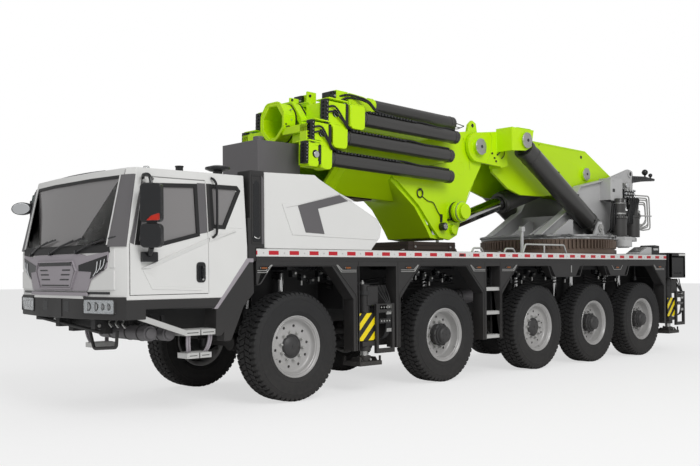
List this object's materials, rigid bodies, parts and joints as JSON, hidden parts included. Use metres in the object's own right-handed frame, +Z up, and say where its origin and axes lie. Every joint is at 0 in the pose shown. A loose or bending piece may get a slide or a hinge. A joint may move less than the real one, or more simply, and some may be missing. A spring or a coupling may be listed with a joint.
{
  "type": "mobile crane",
  "caption": "Multi-axle all-terrain carrier with a low cab, side outriggers and a slewing knuckle-boom crane with a telescopic outer boom.",
  "frame": {"origin": "centre of the bounding box's base, on the ground under the wheels", "axes": "+X towards the vehicle's left, +Y towards its rear, +Z up"},
  "size_m": [3.06, 12.555, 4.0993],
  "materials": {
    "frame_paint": "satin",
    "painted_dark": "matt",
    "rest_rubber": "matt",
    "painted_white": "satin",
    "smoked_glass": "clear",
    "cab_trim": "matt",
    "cast_dark": "rough",
    "painted_tank_grey": "satin",
    "gear_steel": "machined and oiled",
    "tyre_rubber": "matt",
    "jack_steel": "satin",
    "painted_grey": "satin",
    "painted_green": "gloss",
    "painted_charcoal": "satin",
    "chrome_rod": "polished"
  },
  "bodies": {
    "carrier": {"chassis_frame": "frame_paint", "deck": "painted_dark", "skirt_left": "painted_dark", "skirt_right": "painted_dark", "boom_rest": "rest_rubber", "cab_shell": "painted_white", "windscreen": "smoked_glass", "cab_interior": "cab_trim", "front_bumper": "painted_dark", "engine_hood": "painted_white", "engine_block": "cast_dark", "exhaust_column": "painted_dark", "oil_tank": "painted_tank_grey", "slew_ring": "gear_steel", "axle_1": "frame_paint", "axle_2": "frame_paint", "axle_3": "frame_paint", "axle_4": "frame_paint", "axle_5": "frame_paint"},
    "knuckle_1_left": {"knuckle_1_left": "cast_dark"},
    "wheel_1_left": {"wheel_1_left": "tyre_rubber"},
    "knuckle_1_right": {"knuckle_1_right": "cast_dark"},
    "wheel_1_right": {"wheel_1_right": "tyre_rubber"},
    "knuckle_2_left": {"knuckle_2_left": "cast_dark"},
    "wheel_2_left": {"wheel_2_left": "tyre_rubber"},
    "knuckle_2_right": {"knuckle_2_right": "cast_dark"},
    "wheel_2_right": {"wheel_2_right": "tyre_rubber"},
    "wheel_3_left": {"wheel_3_left": "tyre_rubber"},
    "wheel_3_right": {"wheel_3_right": "tyre_rubber"},
    "wheel_4_left": {"wheel_4_left": "tyre_rubber"},
    "wheel_4_right": {"wheel_4_right": "tyre_rubber"},
    "knuckle_5_left": {"knuckle_5_left": "cast_dark"},
    "wheel_5_left": {"wheel_5_left": "tyre_rubber"},
    "knuckle_5_right": {"knuckle_5_right": "cast_dark"},
    "wheel_5_right": {"wheel_5_right": "tyre_rubber"},
    "door_left": {"door_left": "painted_white"},
    "door_right": {"door_right": "painted_white"},
    "outrigger_beam_front_left": {"outrigger_beam_front_left": "painted_dark"},
    "outrigger_jack_front_left": {"outrigger_jack_front_left": "jack_steel"},
    "outrigger_beam_front_right": {"outrigger_beam_front_right": "painted_dark"},
    "outrigger_jack_front_right": {"outrigger_jack_front_right": "jack_steel"},
    "outrigger_beam_rear_left": {"outrigger_beam_rear_left": "painted_dark"},
    "outrigger_jack_rear_left": {"outrigger_jack_rear_left": "jack_steel"},
    "outrigger_beam_rear_right": {"outrigger_beam_rear_right": "painted_dark"},
    "outrigger_jack_rear_right": {"outrigger_jack_rear_right": "jack_steel"},
    "turntable": {"turntable": "painted_grey"},
    "inner_arm": {"inner_arm": "painted_green"},
    "outer_boom": {"outer_boom": "painted_green"},
    "boom_stage_1": {"boom_stage_1": "painted_green"},
    "boom_stage_2": {"boom_stage_2": "painted_green"},
    "boom_stage_3": {"boom_stage_3": "painted_green"},
    "luff_barrel_left": {"luff_barrel_left": "painted_charcoal"},
    "luff_rod_left": {"luff_rod_left": "chrome_rod"},
    "luff_barrel_right": {"luff_barrel_right": "painted_charcoal"},
    "luff_rod_right": {"luff_rod_right": "chrome_rod"},
    "fold_barrel": {"fold_barrel": "painted_charcoal"},
    "fold_rod": {"fold_rod": "chrome_rod"}
  },
  "joints": [
    {"name": "steer_1_left", "type": "hinge", "parent": "carrier", "child": "knuckle_1_left", "pos_m": [0.765, -3.7625, 0.668], "axis": [0, 0, 1], "range_deg": [-30, 30]},
    {"name": "roll_1_left", "type": "hinge", "parent": "knuckle_1_left", "child": "wheel_1_left", "pos_m": [1.02, -3.7625, 0.668], "axis": [1, 0, 0], "continuous": true},
    {"name": "steer_1_right", "type": "hinge", "parent": "carrier", "child": "knuckle_1_right", "pos_m": [-0.765, -3.7625, 0.668], "axis": [0, 0, 1], "range_deg": [-30, 30]},
    {"name": "roll_1_right", "type": "hinge", "parent": "knuckle_1_right", "child": "wheel_1_right", "pos_m": [-1.02, -3.7625, 0.668], "axis": [1, 0, 0], "continuous": true},
    {"name": "steer_2_left", "type": "hinge", "parent": "carrier", "child": "knuckle_2_left", "pos_m": [0.765, -1.0225, 0.668], "axis": [0, 0, 1], "range_deg": [-18, 18]},
    {"name": "roll_2_left", "type": "hinge", "parent": "knuckle_2_left", "child": "wheel_2_left", "pos_m": [1.02, -1.0225, 0.668], "axis": [1, 0, 0], "continuous": true},
    {"name": "steer_2_right", "type": "hinge", "parent": "carrier", "child": "knuckle_2_right", "pos_m": [-0.765, -1.0225, 0.668], "axis": [0, 0, 1], "range_deg": [-18, 18]},
    {"name": "roll_2_right", "type": "hinge", "parent": "knuckle_2_right", "child": "wheel_2_right", "pos_m": [-1.02, -1.0225, 0.668], "axis": [1, 0, 0], "continuous": true},
    {"name": "roll_3_left", "type": "hinge", "parent": "carrier", "child": "wheel_3_left", "pos_m": [1.02, 1.2475, 0.668], "axis": [1, 0, 0], "continuous": true},
    {"name": "roll_3_right", "type": "hinge", "parent": "carrier", "child": "wheel_3_right", "pos_m": [-1.02, 1.2475, 0.668], "axis": [1, 0, 0], "continuous": true},
    {"name": "roll_4_left", "type": "hinge", "parent": "carrier", "child": "wheel_4_left", "pos_m": [1.02, 2.8875, 0.668], "axis": [1, 0, 0], "continuous": true},
    {"name": "roll_4_right", "type": "hinge", "parent": "carrier", "child": "wheel_4_right", "pos_m": [-1.02, 2.8875, 0.668], "axis": [1, 0, 0], "continuous": true},
    {"name": "steer_5_left", "type": "hinge", "parent": "carrier", "child": "knuckle_5_left", "pos_m": [0.765, 4.5175, 0.668], "axis": [0, 0, 1], "range_deg": [-7.5, 7.5]},
    {"name": "roll_5_left", "type": "hinge", "parent": "knuckle_5_left", "child": "wheel_5_left", "pos_m": [1.02, 4.5175, 0.668], "axis": [1, 0, 0], "continuous": true},
    {"name": "steer_5_right", "type": "hinge", "parent": "carrier", "child": "knuckle_5_right", "pos_m": [-0.765, 4.5175, 0.668], "axis": [0, 0, 1], "range_deg": [-7.5, 7.5]},
    {"name": "roll_5_right", "type": "hinge", "parent": "knuckle_5_right", "child": "wheel_5_right", "pos_m": [-1.02, 4.5175, 0.668], "axis": [1, 0, 0], "continuous": true},
    {"name": "open_door_left", "type": "hinge", "parent": "carrier", "child": "door_left", "pos_m": [1.254, -6.0515, 1.95], "axis": [0, 0, -1], "range_deg": [0, 68]},
    {"name": "open_door_right", "type": "hinge", "parent": "carrier", "child": "door_right", "pos_m": [-1.254, -6.0515, 1.95], "axis": [0, 0, 1], "range_deg": [0, 68]},
    {"name": "extend_front_left", "type": "slide", "parent": "carrier", "child": "outrigger_beam_front_left", "axis": [1, 0, 0], "range_m": [0, 1.6]},
    {"name": "lower_front_left", "type": "slide", "parent": "outrigger_beam_front_left", "child": "outrigger_jack_front_left", "axis": [0, 0, -1], "range_m": [0, 0.55]},
    {"name": "extend_front_right", "type": "slide", "parent": "carrier", "child": "outrigger_beam_front_right", "axis": [-1, 0, 0], "range_m": [0, 1.6]},
    {"name": "lower_front_right", "type": "slide", "parent": "outrigger_beam_front_right", "child": "outrigger_jack_front_right", "axis": [0, 0, -1], "range_m": [0, 0.55]},
    {"name": "extend_rear_left", "type": "slide", "parent": "carrier", "child": "outrigger_beam_rear_left", "axis": [1, 0, 0], "range_m": [0, 1.6]},
    {"name": "lower_rear_left", "type": "slide", "parent": "outrigger_beam_rear_left", "child": "outrigger_jack_rear_left", "axis": [0, 0, -1], "range_m": [0, 0.55]},
    {"name": "extend_rear_right", "type": "slide", "parent": "carrier", "child": "outrigger_beam_rear_right", "axis": [-1, 0, 0], "range_m": [0, 1.6]},
    {"name": "lower_rear_right", "type": "slide", "parent": "outrigger_beam_rear_right", "child": "outrigger_jack_rear_right", "axis": [0, 0, -1], "range_m": [0, 0.55]},
    {"name": "slew", "type": "hinge", "parent": "carrier", "child": "turntable", "pos_m": [0, 3.2675, 2.1], "axis": [0, 0, 1], "continuous": true},
    {"name": "luff", "type": "hinge", "parent": "turntable", "child": "inner_arm", "pos_m": [0, 4.8375, 3.15], "axis": [-1, 0, 0], "range_deg": [0, 80]},
    {"name": "fold", "type": "hinge", "parent": "inner_arm", "child": "outer_boom", "pos_m": [0, 0.5375, 3.54], "axis": [-1, 0, 0], "range_deg": [0, 15]},
    {"name": "telescope_1", "type": "slide", "parent": "outer_boom", "child": "boom_stage_1", "axis": [0, -0.9996, 0.0297], "range_m": [0, 2.2]},
    {"name": "telescope_2", "type": "slide", "parent": "boom_stage_1", "child": "boom_stage_2", "axis": [0, -0.9996, 0.0297], "range_m": [0, 2.2]},
    {"name": "telescope_3", "type": "slide", "parent": "boom_stage_2", "child": "boom_stage_3", "axis": [0, -0.9996, 0.0297], "range_m": [0, 2.2]},
    {"name": "luff_barrel_swing_left", "type": "hinge", "parent": "turntable", "child": "luff_barrel_left", "pos_m": [0.72, 3.6875, 2.33], "axis": [-1, 0, 0], "range_deg": [0, 73.94]},
    {"name": "luff_rod_slide_left", "type": "slide", "parent": "luff_barrel_left", "child": "luff_rod_left", "axis": [0, -0.8598, 0.5106], "range_m": [0, 1.7827]},
    {"name": "luff_barrel_swing_right", "type": "hinge", "parent": "turntable", "child": "luff_barrel_right", "pos_m": [-0.72, 3.6875, 2.33], "axis": [-1, 0, 0], "range_deg": [0, 73.94]},
    {"name": "luff_rod_slide_right", "type": "slide", "parent": "luff_barrel_right", "child": "luff_rod_right", "axis": [0, -0.8598, 0.5106], "range_m": [0, 1.7827]},
    {"name": "fold_barrel_swing", "type": "hinge", "parent": "inner_arm", "child": "fold_barrel", "pos_m": [0, 3.8875, 3.35], "axis": [-1, 0, 0], "range_deg": [0, 3.85]},
    {"name": "fold_rod_slide", "type": "slide", "parent": "fold_barrel", "child": "fold_rod", "axis": [0, -0.9586, -0.2848], "range_m": [0, 0.2824]}
  ],
  "couplings": [
    {"joint": "steer_1_right", "follows": "steer_1_left", "ratio": 1},
    {"joint": "steer_2_left", "follows": "steer_1_left", "ratio": 0.6},
    {"joint": "steer_2_right", "follows": "steer_1_left", "ratio": 0.6},
    {"joint": "steer_5_left", "follows": "steer_1_left", "ratio": -0.25},
    {"joint": "steer_5_right", "follows": "steer_1_left", "ratio": -0.25},
    {"joint": "telescope_2", "follows": "telescope_1", "ratio": 1},
    {"joint": "telescope_3", "follows": "telescope_1", "ratio": 1},
    {"joint": "luff_barrel_swing_left", "follows": "luff", "ratio": 0.91805},
    {"joint": "luff_rod_slide_left", "follows": "luff", "m_per_rad": 1.2696},
    {"joint": "luff_barrel_swing_right", "follows": "luff", "ratio": 0.91805},
    {"joint": "luff_rod_slide_right", "follows": "luff", "m_per_rad": 1.2696},
    {"joint": "fold_barrel_swing", "follows": "fold", "ratio": 0.23637},
    {"joint": "fold_rod_slide", "follows": "fold", "m_per_rad": 1.0404}
  ]
}
